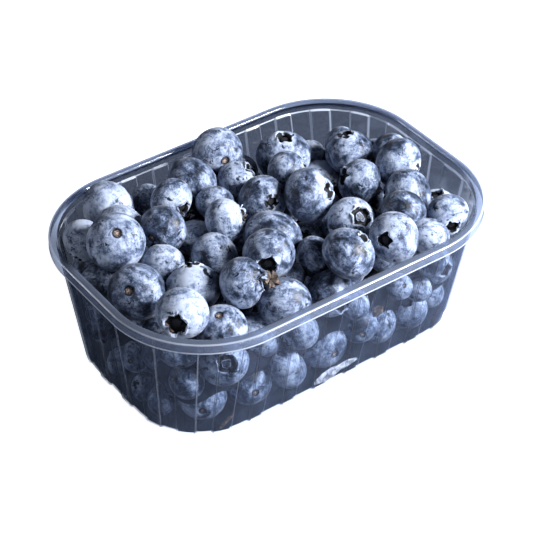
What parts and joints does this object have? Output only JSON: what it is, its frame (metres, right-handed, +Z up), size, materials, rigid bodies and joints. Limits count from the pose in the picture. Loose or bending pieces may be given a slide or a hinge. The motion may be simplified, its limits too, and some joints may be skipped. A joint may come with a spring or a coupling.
{
  "type": "punnet of blueberries",
  "caption": "Ribbed see-through plastic punnet with rounded corners and a turned-down rim, heaped past its rim with loose blueberries.",
  "frame": {"origin": "middle of the underside, on the surface the punnet stands on", "axes": "+X along the punnet's length, +Y across it, +Z up"},
  "size_m": [0.1428, 0.0998, 0.0627],
  "materials": {
    "tray_plastic": "smoky see-through sheet, glossy",
    "berry_skin": "waxy blue-grey bloom, rubbed dark in places"
  },
  "bodies": {
    "root": {"tray": "tray_plastic", "berries": "berry_skin"}
  },
  "joints": []
}
